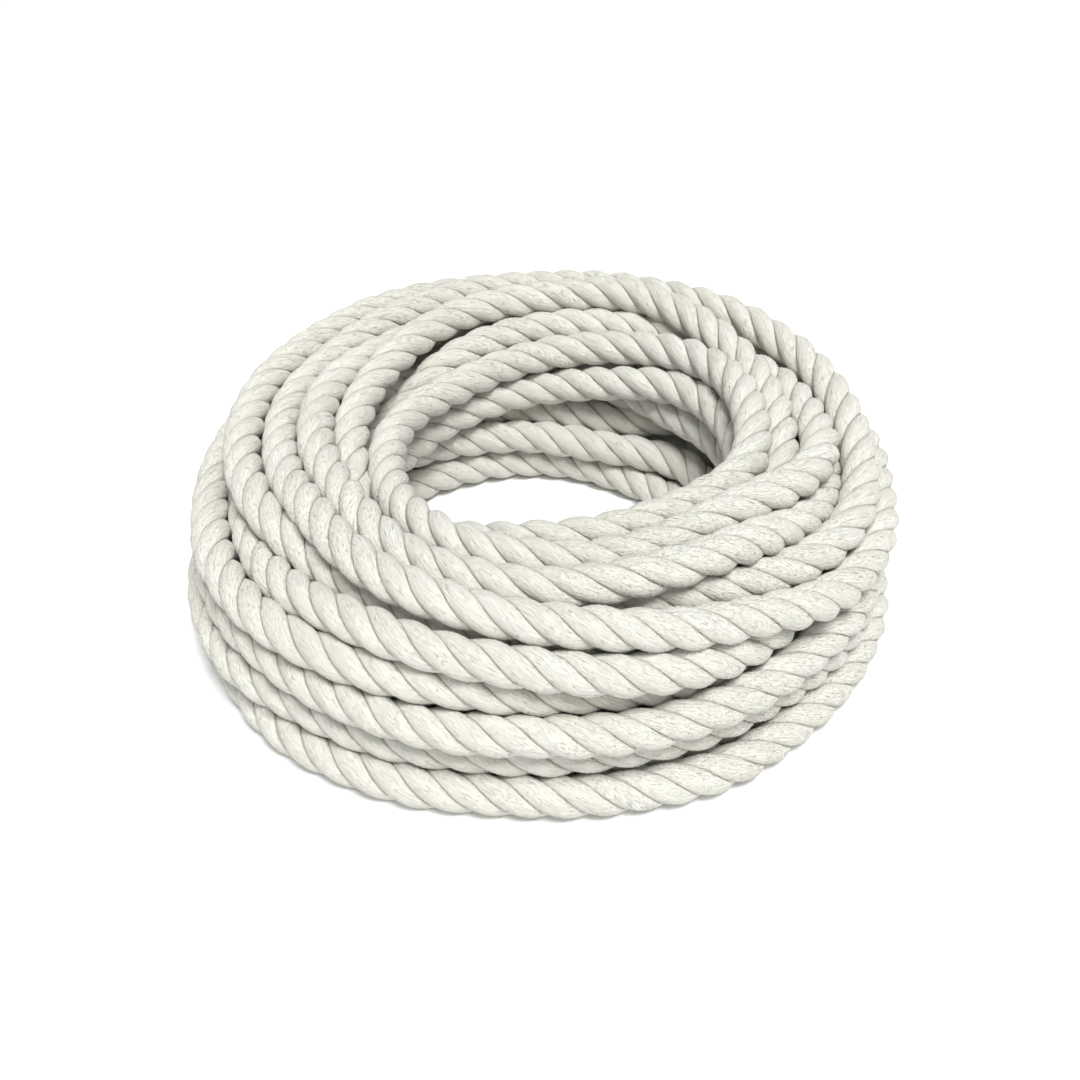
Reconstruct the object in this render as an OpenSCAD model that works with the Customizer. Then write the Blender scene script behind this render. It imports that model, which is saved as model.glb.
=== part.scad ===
// Coiled dock line: one soft three-strand rope in a loose hand coil, lying flat.
// The origin is the middle of the coil on the surface it rests on. X points to
// the right of the coil, Y to its back and Z up. All sizes are in millimetres.

/* [Rope] */
// Diameter of the rope
rope_d = 12.7; // [12:0.1:13.5]
// Length of a whipping, the twine binding near each end
whipping_length = 18; // [12:1:24]
// Rope that stands out past a whipping
end_length = 7; // [5:1:10]

/* [Lower turns] */
// Radius at the middle of the outermost lower turn
lower_turn_r = 113.5; // [113:0.1:115]
// Height at which the upper turns lie on the lower ones, in rope diameters
lower_rise = 2.76; // [2.7:0.01:2.78]

/* [Upper turns] */
// Radius at the middle of the outermost upper turn
upper_turn_r = 107; // [105:0.5:108]
// Height of the upper turns over the lower ones, in rope diameters
upper_rise = 2.58; // [2.5:0.01:2.6]
// How far the upper turns lie to the right of the lower ones
upper_shift_x = 4; // [3:0.5:5]
// How far the upper turns lie in front of the lower ones
upper_shift_front = 3; // [2:0.5:4]

/* [Hidden] */

rope_r = rope_d / 2;
lower_height = lower_rise * rope_d;
upper_height = upper_rise * rope_d;
// A whipping pulls the rope in, so its twine is flush with the bare rope.
bound_r = rope_r - 0.9;
bore_gap = 0.05;
tube_sides = 12;
turn_sides = 48;

// A row of turns: [in from the outermost turn, turns side by side, height], in
// rope diameters. The lowest row is pressed a little flat on the surface.
lower_rows = [[0, 5, 0.48], [0.35, 5, 1.38], [0.1, 5, 2.3]];
upper_rows = [[0, 4, 0.46], [0.35, 4, 1.35], [0.9, 4, 2.1]];

// The rope's outer end lies on the surface behind the coil, against its turns.
outer_route = [
    [39, 109, 6.5], [52, 109, 6.5], [66, 106, 6.5], [74, 101, 6.5], [80, 96, 6.5]
];
// The rope's inner end lies on the surface, along the front of the eye.
inner_route = [
    [-52, -14, 6.5], [-45, -23, 6.5], [-36, -32, 6.5], [-25, -39.5, 6.5],
    [-12, -43.5, 6.5], [-4, -43.5, 6.5]
];

// The turns of one group as a solid ring, flat above and below.
module ring_of_turns(outermost_r, rows, height) {
    first_r = [for (row = rows) outermost_r - row[0] * rope_d];
    last_r = [for (i = [0 : len(rows) - 1]) first_r[i] - (rows[i][1] - 1) * rope_d];
    row_z = [for (row = rows) row[2] * rope_d];
    core = concat(
        [for (i = [0 : len(rows) - 1]) [first_r[i], row_z[i]]],
        [for (i = [len(rows) - 1 : -1 : 0]) [last_r[i], row_z[i]]]
    );
    rotate_extrude($fn = 96)
        intersection() {
            union() {
                polygon(core);
                for (i = [0 : len(rows) - 1], turn = [0 : rows[i][1] - 1])
                    translate([first_r[i] - turn * rope_d, row_z[i]])
                        circle(r = rope_r, $fn = turn_sides);
            }
            translate([rope_d, 0])
                square([outermost_r, height]);
        }
}

function unit(v) = v / norm(v);
function heading(points, i) =
    unit(points[min(i + 1, len(points) - 1)] - points[max(i - 1, 0)]);
function ring_at(centre, along, radius) =
    let (side = unit(cross(along, [0, 0, 1])), up = cross(side, along))
    [for (k = [0 : tube_sides - 1])
        let (a = 360 * k / tube_sides)
        centre + radius * (cos(a) * side + sin(a) * up)];

// A rope swept along its route. Its last two rings are held in by the whipping.
module tail(route) {
    count = len(route);
    // The end of the rope, past the last point of the route.
    along = heading(route, count - 1);
    start = route[count - 1];
    binding = start + along * 2;
    points = concat(
        [for (i = [0 : count - 1]) each ring_at(route[i], heading(route, i), rope_r)],
        ring_at(binding, along, bound_r),
        ring_at(binding + along * (whipping_length + end_length), along, bound_r)
    );
    rings = count + 2;
    sides = [for (i = [0 : rings - 2], k = [0 : tube_sides - 1])
        let (a = i * tube_sides + k, b = i * tube_sides + (k + 1) % tube_sides)
        [a, a + tube_sides, b + tube_sides, b]];
    near_cap = [for (k = [0 : tube_sides - 1]) k];
    far_cap = [for (k = [tube_sides - 1 : -1 : 0]) (rings - 1) * tube_sides + k];
    polyhedron(points, concat([near_cap], sides, [far_cap]));
}

// The twine bound round a tail, as a plain sleeve.
module whipping(route) {
    count = len(route);
    along = heading(route, count - 1);
    middle = route[count - 1] + along * (2 + whipping_length / 2);
    turn = atan2(along[1], along[0]);
    tilt = acos(along[2]);
    translate(middle)
        rotate([0, tilt, turn])
            difference() {
                cylinder(r = rope_r, h = whipping_length, center = true, $fn = 48);
                cylinder(r = bound_r + bore_gap, h = whipping_length + 2,
                         center = true, $fn = 48);
            }
}

module lower_turns() {
    color("ivory") ring_of_turns(lower_turn_r, lower_rows, lower_height);
}

module upper_turns() {
    color("ivory")
        translate([upper_shift_x, -upper_shift_front, lower_height])
            ring_of_turns(upper_turn_r, upper_rows, upper_height);
}

module outer_tail() {
    color("ivory") tail(outer_route);
}

module inner_tail() {
    color("ivory") tail(inner_route);
}

module outer_whipping() {
    color("wheat") whipping(outer_route);
}

module inner_whipping() {
    color("wheat") whipping(inner_route);
}

lower_turns();
upper_turns();
outer_tail();
inner_tail();
outer_whipping();
inner_whipping();
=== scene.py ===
from math import cos, pi, radians, sin

import bpy
import numpy as np
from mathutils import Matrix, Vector


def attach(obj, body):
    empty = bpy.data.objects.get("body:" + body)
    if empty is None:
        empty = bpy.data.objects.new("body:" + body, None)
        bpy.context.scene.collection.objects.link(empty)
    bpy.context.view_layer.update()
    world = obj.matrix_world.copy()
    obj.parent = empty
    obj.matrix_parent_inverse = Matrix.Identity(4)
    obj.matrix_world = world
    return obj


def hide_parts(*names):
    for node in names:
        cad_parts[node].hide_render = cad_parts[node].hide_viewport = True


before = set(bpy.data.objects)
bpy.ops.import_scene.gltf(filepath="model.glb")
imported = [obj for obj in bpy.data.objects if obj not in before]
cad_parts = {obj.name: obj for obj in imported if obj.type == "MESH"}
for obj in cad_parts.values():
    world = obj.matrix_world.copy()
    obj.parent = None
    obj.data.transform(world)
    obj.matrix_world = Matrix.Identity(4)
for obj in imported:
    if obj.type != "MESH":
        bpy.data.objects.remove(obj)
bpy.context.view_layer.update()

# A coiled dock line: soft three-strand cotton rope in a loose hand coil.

# The rope. Lengths are in metres unless a comment says rope diameters.
ROPE_D = 0.0127
LAY = 2.6              # length of one full twist of a strand, in rope diameters
WHIPPING = 0.018       # length of a whipping
END = 0.007            # rope that stands out past it
TWINE_D = 0.001
BITE = 0.0009          # how far a whipping pulls the rope in
BEFORE_WHIPPING = 0.002  # straight rope between a route's last point and its whipping

# The camera: its place and how far down it looks.
CAMERA_AT = (0, -0.336, 0.291)
CAMERA_DOWN = 40
CAMERA_LENS = 41.7

# The turns from the outer end to the inner end. A row is one turn, at its front,
# right, back and left: (distance from the middle, height) in rope diameters.
TURNS = [
    [(8.75, .5), (9.0, .5), (8.1, .5), (9.0, 1.35)],
    [(8.2, 1.35), (8.95, 1.55), (7.6, 1.4), (8.8, 2.25)],
    [(8.45, 2.2), (8.75, 2.6), (7.5, 3.1), (8.65, 3.2)],
    [(7.7, 2.85), (7.9, 1.5), (7.3, 2.25), (7.6, 3.3)],
    [(7.95, 3.65), (7.8, 2.6), (6.4, 3.1), (6.7, 3.3)],
    [(6.05, 3.85), (8.4, 4.3), (7.6, 4.75), (6.6, 4.3)],
    [(7.4, 4.6), (9.05, 3.55), (7.0, 3.85), (5.8, 4.7)],
    [(6.4, 4.7), (7.7, 3.75), (8.4, 4.1), (7.5, 4.3)],
    [(7.0, 3.75), (6.7, 3.3), (5.4, 3.3), (5.8, 3.4)],
    [(5.1, 3.8), (6.4, 4.35), (6.5, 4.7), (5.0, 4.3)],
    [(5.75, 3.0), (5.6, 3.95), (4.3, 3.1), (4.9, 3.1)],
    [(4.6, 4.65), (5.5, 4.75), (4.6, 4.0), (4.35, 3.9)],
    [(5.45, 4.8), (7.35, 4.6), (5.5, 4.3), (5.8, 2.3)],
    [(6.4, 2.2), (6.8, 2.35), (4.5, 2.2), (6.8, 2.3)],
    [(6.75, 3.0), (5.6, 3.2), (5.4, 2.3), (7.8, 2.3)],
    [(7.4, 2.15), (5.8, 2.3), (6.6, 1.4), (8.0, 1.35)],
    [(7.25, 1.35), (6.9, 1.4), (5.2, 1.4), (7.0, 1.35)],
    [(7.75, .5), (8.0, .5), (7.1, .5), (8.1, .5)],
    [(6.25, 1.35), (5.9, 1.4), (4.1, 1.4), (6.0, 1.35)],
    [(6.75, .5), (7.0, .5), (6.1, .5), (7.1, .5)],
    [(5.75, .5), (6.0, .5), (5.15, .5), (6.1, .5)],
    [(5.2, 1.35), (5.0, .5), (4.15, .5), (5.1, .5)],
]
FIRST_SIDES = [(9.1, .5), (9.1, .5)]   # the back and the left, before the first row
# Where a turn crosses over or under others halfway from a side of its row to the
# next side: {(row, side): (distance from the middle, height)}.
CROSSINGS = {
    (7, 2): (9.0, 4.5), (5, 2): (7.8, 4.5), (5, 1): (8.0, 4.9), (6, 1): (8.6, 3.6),
    (7, 1): (8.4, 4.0), (9, 1): (6.4, 4.6), (10, 1): (4.7, 3.2), (11, 1): (5.3, 4.9),
    (12, 1): (6.7, 4.1), (8, 1): (5.9, 3.3),
}
# The two stretches that aren't coiled, from the coil to the whipping, in metres.
OUTER_ROUTE = [
    (0.039, 0.109, 0.0065), (0.052, 0.109, 0.0065), (0.066, 0.106, 0.0065),
    (0.074, 0.101, 0.0065), (0.080, 0.096, 0.0065),
]
INNER_ROUTE = [
    (-0.052, -0.014, 0.0065), (-0.045, -0.023, 0.0065), (-0.036, -0.032, 0.0065),
    (-0.025, -0.0395, 0.0065), (-0.012, -0.0435, 0.0065), (-0.004, -0.0435, 0.0065),
]


def make_camera():
    data = bpy.data.cameras.new("camera")
    data.lens = CAMERA_LENS
    data.sensor_width = 36
    data.clip_start = 0.01
    camera = bpy.data.objects.new("camera", data)
    camera.location = CAMERA_AT
    camera.rotation_euler = (radians(90 - CAMERA_DOWN), 0, 0)
    bpy.context.collection.objects.link(camera)
    bpy.context.scene.camera = camera


def through(points, steps):
    """A smooth curve through the points, with that many steps between two."""
    p = np.asarray(points, float)
    t = np.linspace(0, len(p) - 1, (len(p) - 1) * steps + 1)
    i = np.clip(t.astype(int), 0, len(p) - 2)
    u = (t - i)[:, None]
    a, b, c, d = (p[np.clip(i + k, 0, len(p) - 1)] for k in (-1, 0, 1, 2))
    return 0.5 * (2 * b + (c - a) * u + (2 * a - 5 * b + 4 * c - d) * u ** 2
                  + (3 * b - a - 3 * c + d) * u ** 3)


def along(points):
    """How far along the curve each point is."""
    steps = np.linalg.norm(np.diff(points, axis=0), axis=1)
    return np.concatenate([[0], np.cumsum(steps)])


def spaced(points, count):
    """The same curve with evenly spaced points."""
    s = along(points)
    at = np.linspace(0, s[-1], count)
    return np.stack([np.interp(at, s, points[:, k]) for k in range(3)], axis=1)


def tip(route):
    """The rope's tip, past the whipping at the end of a route."""
    last = np.array(route[-1])
    heading = last - np.array(route[-2])
    heading /= np.linalg.norm(heading)
    return last + heading * (BEFORE_WHIPPING + WHIPPING + END)


STEPS_PER_SIDE = 30    # steps of the curve from one side of a turn to the next
ROUTE_STEPS = 8        # steps between two points of a route
JOINED_STEPS = 4       # and between two points once the routes join the turns
FIRST_KEPT = 8         # leaves the outer route room to run into the first turn


def coil_line():
    """The rope's line before it settles, in rope diameters."""
    sides = FIRST_SIDES + [side for row in TURNS for side in row]
    rz = through(sides, STEPS_PER_SIDE)
    half = STEPS_PER_SIDE // 2
    for (row, side), place in CROSSINGS.items():
        # A crossing bends the curve as far as the sides before and after it.
        middle = (len(FIRST_SIDES) + 4 * row + side) * STEPS_PER_SIDE + half
        reach = np.arange(1 - half, half)
        weight = np.cos(reach / half * pi / 2) ** 2
        rz[middle + reach] += weight[:, None] * (np.array(place) - rz[middle])
    angle = pi / 2 + np.linspace(0, len(sides) - 1, len(rz)) * pi / 2
    turns = np.stack([rz[:, 0] * np.cos(angle), rz[:, 0] * np.sin(angle), rz[:, 1]], 1)
    outer = [*OUTER_ROUTE, tip(OUTER_ROUTE)][::-1]
    inner = [*INNER_ROUTE, tip(INNER_ROUTE)]
    outer = through(np.array(outer) / ROPE_D, ROUTE_STEPS)
    inner = through(np.array(inner) / ROPE_D, ROUTE_STEPS)
    # The coil's last quarter runs into the inner route.
    return through(np.concatenate([outer, turns[FIRST_KEPT::half], inner]), JOINED_STEPS)


# How the turns settle. Lengths are in rope diameters.
STEP = 0.5             # between the points that settle
GAP = 0.96             # between the lines of two turns that touch
SAME_STRETCH = 1.6     # points this near along the rope never push each other
SEARCH_REACH = 1.35    # pairs of points this near are watched
SEARCH_EVERY = 8       # rounds between two searches for such pairs
LYING = 0.5            # height of a rope's middle when it lies on the floor
ROUNDS = 320
FINDS_ROOM = 0.45      # the share of the rounds before the turns sink
PUSHES_ONLY = 0.9      # the share after which the turns are only pushed apart
PUSHES = 4             # pushes in a round
HOLD = 0.12            # pull back to the line as drawn
HOLD_EASES = 0.07      # how much of that pull goes while the turns sink
HEIGHT_EASES = 0.6     # the further share of it that goes upwards and downwards
SINK = 0.004           # fall in each round
SINK_GROWS = 0.012     # what is added to it while the turns sink
MIDDLE_R = 6.6         # the middle of the bundle of turns, which draws them in
DRAW = 0.01            # how strongly
DRAW_REACH = 1.5       # a turn further out than this is drawn no harder
ENDS = 6               # length of each end that isn't drawn in
BEND_SPAN = 3          # points on each side that a bend is measured over
BEND_EASES = 0.09      # share of a new bend that straightens in each round


def touching(x, reach):
    """Pairs of points that lie near each other but not next to each other."""
    ahead = int(np.ceil(SAME_STRETCH / STEP))
    far = ((x[:, None, :] - x[None, :, :]) ** 2).sum(-1)
    a, b = np.nonzero(far < reach ** 2)
    apart = b - a > ahead
    return a[apart], b[apart]


def settle(line):
    """Lets the turns push each other apart and sink until they rest on each other."""
    x = spaced(line, int(round(along(line)[-1] / STEP)) + 1)
    step = along(x)[-1] / (len(x) - 1)
    start = x.copy()
    count = len(x)
    end = int(ENDS / STEP)
    for k in range(ROUNDS):
        # First the turns find room, then they are drawn together and sink.
        late = np.clip((k / ROUNDS - FINDS_ROOM) / (PUSHES_ONLY - FINDS_ROOM), 0, 1)
        hold = HOLD - HOLD_EASES * late
        if k <= PUSHES_ONLY * ROUNDS:
            x[:, :2] += hold * (start - x)[:, :2]
            rise = hold * (1 - HEIGHT_EASES * late) * (start - x)[:, 2]
            x[:, 2] += rise - SINK - SINK_GROWS * late
            out = np.hypot(x[:, 0], x[:, 1])
            drawn = np.clip(MIDDLE_R - out, -DRAW_REACH, DRAW_REACH) * DRAW * late / out
            x[end:-end, :2] *= 1 + drawn[end:-end, None]
        if k % SEARCH_EVERY == 0:
            a, b = touching(x, SEARCH_REACH)
        for _ in range(PUSHES):
            v = x[b] - x[a]
            far = np.linalg.norm(v, axis=1)
            push = np.clip(GAP - far, 0, None)
            move = 0.5 * (push / np.maximum(far, 1e-9))[:, None] * v
            total = np.zeros_like(x)
            hits = np.zeros(count)
            for pair, sign in ((a, -1), (b, 1)):
                for axis in range(3):
                    total[:, axis] += np.bincount(pair, sign * move[:, axis], count)
                hits += np.bincount(pair, push > 0, count)
            x += total / np.maximum(1, hits * 0.5)[:, None]
            x[:, 2] = np.maximum(x[:, 2], LYING)
            # The rope doesn't stretch.
            for odd in (0, 1):
                i = np.arange(odd, count - 1, 2)
                link = x[i + 1] - x[i]
                far = np.linalg.norm(link, axis=1)
                spare = 0.5 * ((far - step) / far)[:, None] * link
                x[i] += spare
                x[i + 1] -= spare
        w = BEND_SPAN
        bend = x[w:-w] - 0.5 * (x[2 * w:] + x[:-2 * w])
        bend_start = start[w:-w] - 0.5 * (start[2 * w:] + start[:-2 * w])
        x[w:-w] -= BEND_EASES * (bend - bend_start)
    return x


def smooth(x, rounds):
    """The line with its small kinks evened out."""
    for _ in range(rounds):
        x = x.copy()
        x[1:-1] = 0.25 * x[:-2] + 0.5 * x[1:-1] + 0.25 * x[2:]
    return x


def frames(line):
    """Two directions across the line at each point, which turn as little as they can."""
    tangent = np.gradient(line, axis=0)
    tangent /= np.linalg.norm(tangent, axis=1)[:, None]
    side = np.cross(tangent[0], (0, 0, 1))
    sides = [side / np.linalg.norm(side)]
    for i in range(len(line) - 1):
        v = line[i + 1] - line[i]
        vv = v @ v
        r = sides[-1] - 2 / vv * (v @ sides[-1]) * v
        t = tangent[i] - 2 / vv * (v @ tangent[i]) * v
        w = tangent[i + 1] - t
        ww = w @ w
        if ww > 1e-14:
            r = r - 2 / ww * (w @ r) * w
        r -= (r @ tangent[i + 1]) * tangent[i + 1]
        sides.append(r / np.linalg.norm(r))
    sides = np.array(sides)
    return tangent, sides, np.cross(tangent, sides)


RINGS_PER_LAY = 19     # rings of a strand's mesh in one full twist
LOBE_R = 0.655         # radius of a strand's outer face, in rope radii
LOBE_OUT = 0.345       # how far the middle of that face's circle is from the rope's
NARROWER = 0.985       # a strand's share of its third, so that neighbours stay apart
HEART = 0.02           # how far a strand's inner edge is from the rope's middle
ARC_STEPS = 10         # steps across the face, from one crease to the other
SECTION_POINTS = ARC_STEPS + 4


def strand_section():
    """A strand's outline in rope radii: a round outer face from crease to crease, and
    flat sides where it meets the other two strands. It starts at the rope's middle."""
    half = radians(60) * NARROWER
    crease = LOBE_OUT * cos(half) + (LOBE_R ** 2 - (LOBE_OUT * sin(half)) ** 2) ** 0.5
    end = np.arctan2(crease * sin(half), crease * cos(half) - LOBE_OUT)
    arc = [(LOBE_OUT + LOBE_R * cos(a), LOBE_R * sin(a))
           for a in np.linspace(-end, end, ARC_STEPS + 1)]
    inner = (0.5 * crease * cos(half), 0.5 * crease * sin(half))
    return np.array([(HEART, 0), (inner[0], -inner[1]), *arc, inner])


def new_mesh(name, points, faces, material):
    """A smooth piece that rides with the coil."""
    mesh = bpy.data.meshes.new(name)
    mesh.from_pydata(points.tolist(), [], faces)
    mesh.polygons.foreach_set("use_smooth", [True] * len(mesh.polygons))
    mesh.materials.append(material)
    obj = bpy.data.objects.new(name, mesh)
    bpy.context.collection.objects.link(obj)
    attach(obj, "root")
    return obj


def tube_faces(rings, sides):
    """The faces of a closed tube made of that many rings."""
    r, k = np.meshgrid(np.arange(rings - 1), np.arange(sides), indexing="ij")
    a, b = r * sides + k, r * sides + (k + 1) % sides
    faces = np.stack([a, b, b + sides, a + sides], -1).reshape(-1, 4).tolist()
    faces.append(list(range(sides))[::-1])
    faces.append(list(range((rings - 1) * sides, rings * sides)))
    return faces


def vector_attribute(obj, name, values):
    data = obj.data.attributes.new(name, "FLOAT_VECTOR", "POINT")
    data.data.foreach_set("vector", np.asarray(values, np.float32).ravel())


SWELL = 0.025          # how much a strand's thickness varies
FINE_SWELL = 0.02      # and over a shorter stretch
ROUNDED_END = 0.003    # length over which a cut strand end is rounded
TAPER = 0.005          # length over which the rope narrows towards a whipping
STRAND_WIDTH = 1.9 * ROPE_D  # the way round a strand
YARN_LEAN = 0.8        # yarns cross the strand by this much for each length along it
RUN_FOLD = 0.5         # lengths at which the yarns' coordinates turn back
WRAP_FOLD = 0.41
STRANDS_DIFFER = 0.37  # the step between the strands' coordinates, in metres


def back_and_forth(value, reach):
    """The value folded into 0 to reach, so that a noise made from it stays exact."""
    return reach - np.abs(value % (2 * reach) - reach)


def make_strands(line, material):
    """The three laid strands. Each is pulled in under the whippings."""
    count = int(along(line)[-1] / (LAY * ROPE_D) * RINGS_PER_LAY)
    line = spaced(line, count)
    s = along(line)
    _, side, up = frames(line)
    length = s[-1]
    from_end = np.minimum(s, length - s)
    bound = (ROPE_D / 2 - BITE) / (ROPE_D / 2)
    pulled = np.clip((from_end - END * 0.6) / (END * 0.4), 0, 1)
    pulled *= np.clip((END + WHIPPING + TAPER - from_end) / TAPER, 0, 1)
    radius = ROPE_D / 2 * (1 - (1 - bound) * pulled)
    # The lay tightens and loosens a little along the rope.
    turn = 2 * pi * s / (LAY * ROPE_D)
    turn += 0.35 * np.sin(s * 9.1) + 0.2 * np.sin(s * 23.7 + 1.3)
    section = strand_section()
    around = np.linspace(0, 1, SECTION_POINTS)
    strands = []
    for strand in range(3):
        a = turn + strand * 2 * pi / 3
        swell = 1 + SWELL * np.sin(s * 61 + strand * 2.1)
        swell += FINE_SWELL * np.sin(s * 147 + strand)
        # A cut strand end is rounded off.
        near = 1 - np.clip(from_end / ROUNDED_END, 0, 1)
        full = np.sqrt(np.clip(1 - near ** 2, 0.02, 1))
        x = section[None, :, 0] * np.ones(count)[:, None]
        y = section[None, :, 1] * np.ones(count)[:, None]
        x = (LOBE_OUT + (x - LOBE_OUT) * full[:, None]) * (radius * swell)[:, None]
        y = y * full[:, None] * (radius * swell)[:, None]
        ca, sa = np.cos(a)[:, None], np.sin(a)[:, None]
        u, v = x * ca - y * sa, x * sa + y * ca
        points = (line[:, None, :] + u[:, :, None] * side[:, None, :]
                  + v[:, :, None] * up[:, None, :]).reshape(-1, 3)
        # The rope is pressed flat where it rests.
        points[:, 2] = np.maximum(points[:, 2], 0)
        obj = new_mesh(f"strand_{strand + 1}", points,
                       tube_faces(count, SECTION_POINTS), material)
        # Where a point is on its strand: along and across its yarns in metres, and
        # how deep it lies between the strands. The yarns lie at an angle to the
        # strand, so that they run nearly along the rope.
        run = np.repeat(s[:, None], SECTION_POINTS, 1) + strand * STRANDS_DIFFER
        wrap = np.repeat(around[None, :], count, 0) * STRAND_WIDTH + run * YARN_LEAN
        deep = np.ones(SECTION_POINTS)
        deep[3:-2] = 0
        deep = np.repeat(deep[None, :], count, 0)
        place = [back_and_forth(run, RUN_FOLD), back_and_forth(wrap, WRAP_FOLD), deep]
        vector_attribute(obj, "strand_space", np.stack(place, -1).reshape(-1, 3))
        strands.append(obj)
    return strands


TWINE_PITCH = 1.02     # from one turn of twine to the next, in twine diameters
TWINE_STEPS = 28       # steps in a turn of twine
TWINE_SIDES = 8
TUCK_TURNS = 0.35      # the part of a turn in which the twine goes in under the others
TUCK = 0.0014          # and how far in it goes
KINK_ROUNDS = 40       # how much the rope's line is evened out under the twine


def make_whipping(name, rope, material):
    """Twine wound round the rope's line, which starts at its tip."""
    turns = WHIPPING / (TWINE_D * TWINE_PITCH)
    count = int(turns * TWINE_STEPS)
    t = np.linspace(0, 1, count)
    # Both ends of the twine go in under its turns.
    tuck = np.clip(np.minimum(t, 1 - t) * turns / TUCK_TURNS, 0, 1)
    r = ROPE_D / 2 - BITE + TWINE_D * 0.35 - (1 - tuck) * TUCK
    a = t * turns * 2 * pi
    from_tip = along(rope)
    middle = np.stack([np.interp(END + t * WHIPPING, from_tip, rope[:, k])
                       for k in range(3)], axis=1)
    _, side, up = frames(smooth(middle, KINK_ROUNDS))
    line = middle + (r * np.cos(a))[:, None] * side + (r * np.sin(a))[:, None] * up
    _, n, b = frames(line)
    k = np.arange(TWINE_SIDES) * 2 * pi / TWINE_SIDES
    points = (line[:, None, :] + TWINE_D / 2 * (np.cos(k)[None, :, None] * n[:, None, :]
              + np.sin(k)[None, :, None] * b[:, None, :])).reshape(-1, 3)
    obj = new_mesh(name, points, tube_faces(count, TWINE_SIDES), material)
    s = along(line)
    run = np.repeat(s[:, None], TWINE_SIDES, 1)
    wrap = np.repeat((k * TWINE_D / 2)[None, :], count, 0)
    vector_attribute(obj, "strand_space",
                     np.stack([run, wrap, run * 0], -1).reshape(-1, 3))
    return obj


class Nodes:
    """A short way to build a material's node tree."""

    def __init__(self, name):
        self.material = bpy.data.materials.new(name)
        self.material.use_nodes = True
        self.tree = self.material.node_tree
        self.shader = self.tree.nodes["Principled BSDF"]

    def add(self, kind, inputs=(), **settings):
        node = self.tree.nodes.new("ShaderNode" + kind)
        for key, value in settings.items():
            setattr(node, key, value)
        for key, value in dict(inputs).items():
            self.put(node, key, value)
        return node

    def put(self, node, key, value):
        if isinstance(value, bpy.types.NodeSocket):
            self.tree.links.new(value, node.inputs[key])
        else:
            node.inputs[key].default_value = value

    def noise(self, vector, scale, detail=2.0, rough=0.5):
        return self.add("TexNoise", {"Vector": vector, "Scale": scale, "Detail": detail,
                                     "Roughness": rough}).outputs["Fac"]

    def stretched(self, vector, stretch):
        return self.add("VectorMath", {0: vector, 1: stretch},
                        operation="MULTIPLY").outputs[0]

    def remap(self, value, low, high, to_low=0.0, to_high=1.0):
        return self.add("MapRange", {"Value": value, "From Min": low, "From Max": high,
                                     "To Min": to_low, "To Max": to_high}).outputs[0]

    def mix(self, fac, a, b, blend="MIX"):
        node = self.add("Mix", data_type="RGBA", blend_type=blend)
        self.put(node, 0, fac)
        self.put(node, 6, a)
        self.put(node, 7, b)
        return node.outputs[2]

    def math(self, operation, a, b=0.0):
        return self.add("Math", {0: a, 1: b}, operation=operation).outputs[0]

    def bump(self, height, distance, strength, normal=None):
        inputs = {"Height": height, "Distance": distance, "Strength": strength}
        if normal is not None:
            inputs["Normal"] = normal
        return self.add("Bump", inputs).outputs[0]


# Colours of the cotton, from the rope itself to the painted shade in its creases and the
# husk on it.
COTTON_DARK = (0.775, 0.772, 0.688, 1)
COTTON_PALE = (0.825, 0.823, 0.755, 1)
COTTON_WARM = (0.785, 0.755, 0.675, 1)
YARN_GAPS = (0.62, 0.58, 0.49, 1)
FIBRE_GAPS = (0.58, 0.54, 0.45, 1)
# Painted shade for the creases between the strands.
PAINTED_CREASE_SHADE = (0.40, 0.37, 0.29, 1)
HUSK = (0.33, 0.23, 0.13, 1)


def cotton():
    """Undyed cotton yarn, matte, with grain along the yarns."""
    n = Nodes("cotton")
    space = n.add("Attribute", attribute_name="strand_space").outputs["Vector"]
    place = n.add("TexCoord").outputs["Object"]
    split = n.add("SeparateXYZ", {0: space})
    yarns = n.noise(n.stretched(space, (190, 1700, 0)), 1.0, 3.0, 0.6)
    fibres = n.noise(n.stretched(space, (560, 3500, 0)), 1.0, 2.0, 0.55)
    pile = n.noise(place, 1900, 2.0, 0.6)
    # The cotton's colour varies a little along each strand and across the coil.
    slow = n.noise(n.stretched(space, (14, 40, 0)), 1.0, 2.0)
    patch = n.noise(place, 38, 2.0)
    colour = n.mix(n.remap(slow, 0.35, 0.65), COTTON_DARK, COTTON_PALE)
    colour = n.mix(n.remap(patch, 0.45, 0.75, 0, 0.6), colour, COTTON_WARM)
    colour = n.mix(n.remap(yarns, 0.3, 0.7, 0.16, 0), colour, YARN_GAPS)
    colour = n.mix(n.remap(fibres, 0.3, 0.6, 0.22, 0), colour, FIBRE_GAPS)
    # Painted shade: the base colour is darkened in the creases between the strands.
    deep = n.remap(split.outputs[2], 0.7, 1.0, 0.0, 0.4)
    colour = n.mix(deep, colour, PAINTED_CREASE_SHADE)
    # Bits of seed husk.
    husk = n.add("TexVoronoi", {"Vector": place, "Scale": 150.0, "Randomness": 1.0})
    chance = n.add("SeparateColor", {0: husk.outputs["Color"]})
    size = n.remap(chance.outputs[0], 0.86, 1.0, 0.0, 0.07)
    dot = n.math("LESS_THAN", husk.outputs["Distance"], size)
    colour = n.mix(n.math("MULTIPLY", dot, 0.7), colour, HUSK)
    n.put(n.shader, "Base Color", colour)
    n.put(n.shader, "Roughness", n.remap(fibres, 0.3, 0.7, 0.8, 0.95))
    n.shader.inputs["Specular IOR Level"].default_value = 0.25
    n.shader.inputs["Sheen Weight"].default_value = 0.25
    n.shader.inputs["Sheen Roughness"].default_value = 0.5
    normal = n.bump(yarns, 0.0007, 0.9)
    normal = n.bump(fibres, 0.00035, 0.9, normal)
    normal = n.bump(pile, 0.0003, 0.6, normal)
    n.put(n.shader, "Normal", normal)
    return n.material


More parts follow.
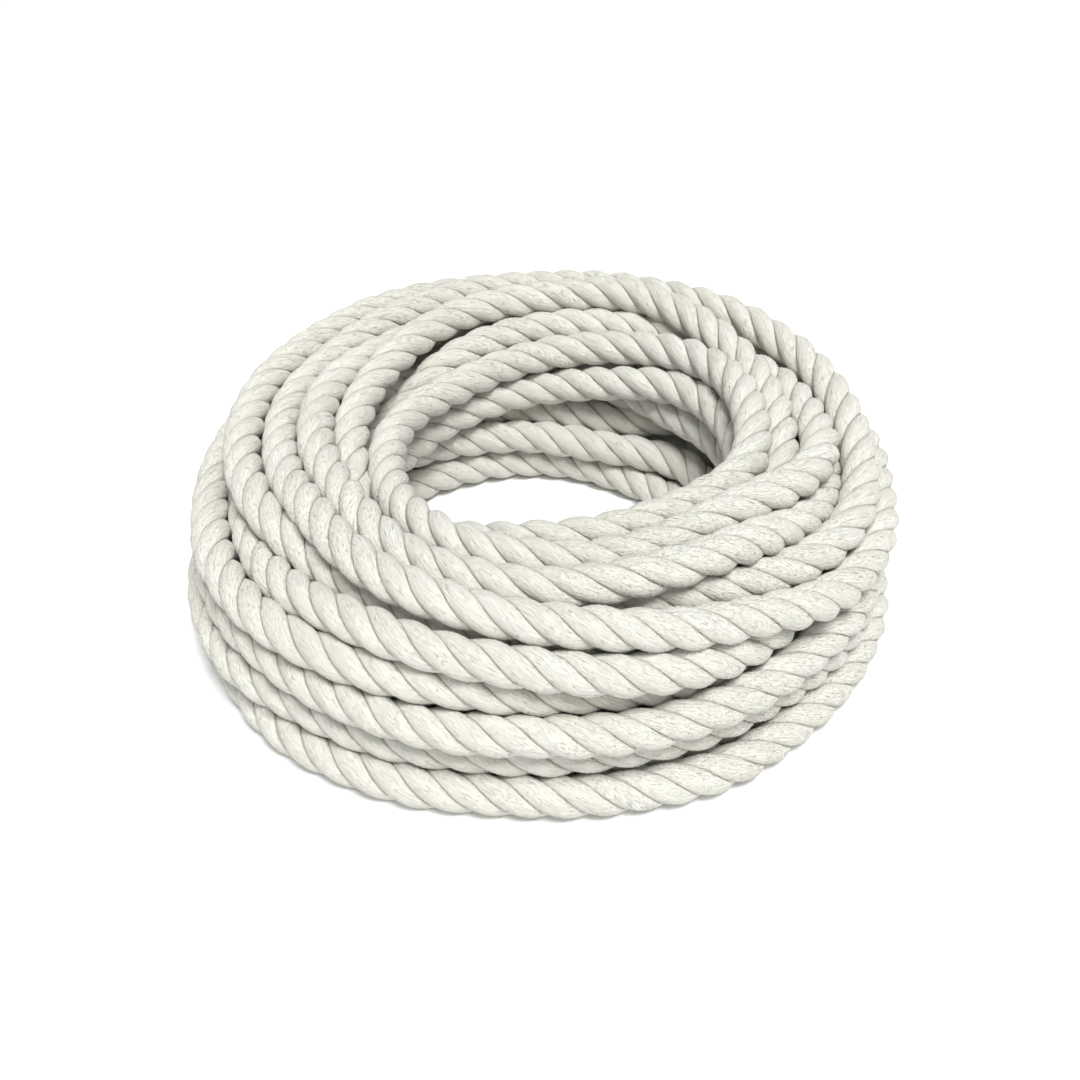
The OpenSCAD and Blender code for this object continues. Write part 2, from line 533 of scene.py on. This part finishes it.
def waxed_twine():
    """Flax twine, brown and slightly shiny."""
    n = Nodes("waxed_twine")
    space = n.add("Attribute", attribute_name="strand_space").outputs["Vector"]
    split = n.add("SeparateXYZ", {0: space})
    # Two plies twisted together.
    ply = n.math("SINE", n.math("ADD", n.math("MULTIPLY", split.outputs[0], 4200.0),
                                n.math("MULTIPLY", split.outputs[1], 4000.0)))
    fibres = n.noise(n.stretched(space, (900, 6000, 1)), 1.0, 2.0)
    colour = n.mix(n.remap(ply, -1, 0.4), (0.50, 0.40, 0.26, 1), (0.74, 0.65, 0.49, 1))
    colour = n.mix(n.remap(fibres, 0.3, 0.7, 0.0, 0.35), colour, (0.56, 0.46, 0.31, 1))
    n.put(n.shader, "Base Color", colour)
    n.put(n.shader, "Roughness", n.remap(fibres, 0.3, 0.7, 0.42, 0.6))
    n.shader.inputs["Sheen Weight"].default_value = 0.1
    normal = n.bump(ply, 0.00025, 0.8)
    n.put(n.shader, "Normal", n.bump(fibres, 0.00008, 0.5, normal))
    return n.material


def make_floor():
    """A plain floor of matte white board."""
    n = Nodes("floor")
    n.put(n.shader, "Base Color", (0.95, 0.95, 0.95, 1))
    n.shader.inputs["Roughness"].default_value = 0.9
    n.shader.inputs["Specular IOR Level"].default_value = 0.1
    size = 6
    mesh = bpy.data.meshes.new("floor")
    mesh.from_pydata([(-size, -size, 0), (size, -size, 0), (size, size, 0),
                      (-size, size, 0)], [], [(0, 1, 2, 3)])
    mesh.materials.append(n.material)
    floor = bpy.data.objects.new("floor", mesh)
    bpy.context.collection.objects.link(floor)


def make_light(name, place, size, power):
    """A round soft light that points at the coil."""
    data = bpy.data.lights.new(name, "AREA")
    data.shape = "DISK"
    data.size = size
    data.energy = power
    light = bpy.data.objects.new(name, data)
    light.location = place
    light.rotation_euler = (-Vector(place)).to_track_quat("-Z", "Y").to_euler()
    bpy.context.collection.objects.link(light)


def make_lights():
    world = bpy.data.worlds.new("studio")
    bpy.context.scene.world = world
    world.use_nodes = True
    background = world.node_tree.nodes["Background"]
    background.inputs["Color"].default_value = (1, 1, 1, 1)
    background.inputs["Strength"].default_value = 0.43
    make_light("key", (0.38, -1.0, 2.8), 1.3, 98)
    make_light("fill", (0.9, -2.1, 1.2), 1.5, 7)
    bpy.context.scene.view_settings.view_transform = "Standard"


make_camera()
rope_line = smooth(settle(coil_line()), 3)
rope_line *= ROPE_D
rope_line = spaced(through(rope_line, 6), 6 * len(rope_line))
strand_material = cotton()
strands = make_strands(rope_line, strand_material)
twine = waxed_twine()
outer_twine = make_whipping("whipping_outer", rope_line, twine)
inner_twine = make_whipping("whipping_inner", rope_line[::-1], twine)
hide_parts("lower_turns", "upper_turns", "outer_tail", "inner_tail")
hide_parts("outer_whipping")
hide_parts("inner_whipping")
make_floor()
make_lights()
